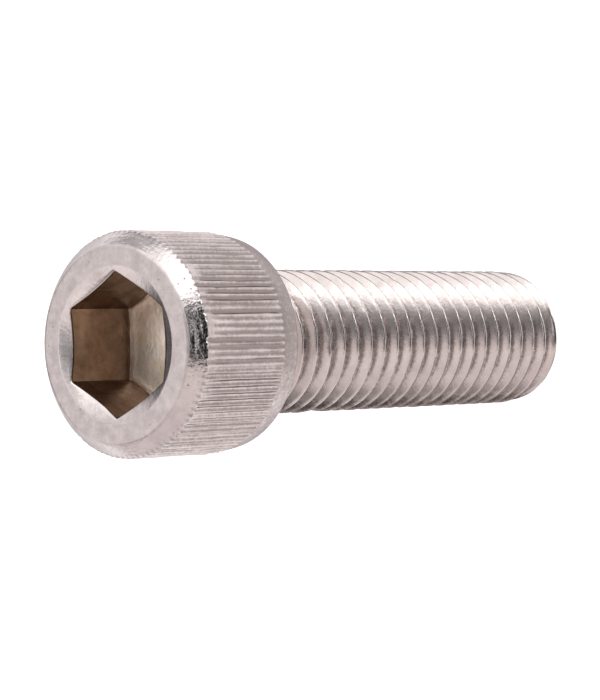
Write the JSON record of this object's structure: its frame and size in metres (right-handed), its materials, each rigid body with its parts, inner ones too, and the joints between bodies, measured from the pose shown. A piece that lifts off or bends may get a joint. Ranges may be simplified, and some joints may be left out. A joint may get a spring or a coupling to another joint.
{
  "type": "hex socket cap screw",
  "caption": "Metric screw with a tall knurled cylindrical head, a hexagonal drive socket and a right-hand thread along its whole shank.",
  "frame": {"origin": "centre of the flat face at the thread end, on which the screw stands", "axes": "+Z along the screw's axis from the thread end to the head; two corners of the hexagonal socket lie on the X axis"},
  "size_m": [0.018, 0.018, 0.052],
  "materials": {
    "steel": "satin stainless, slightly warm, with fine pits"
  },
  "bodies": {
    "root": {"cap_screw": "steel"}
  },
  "joints": []
}
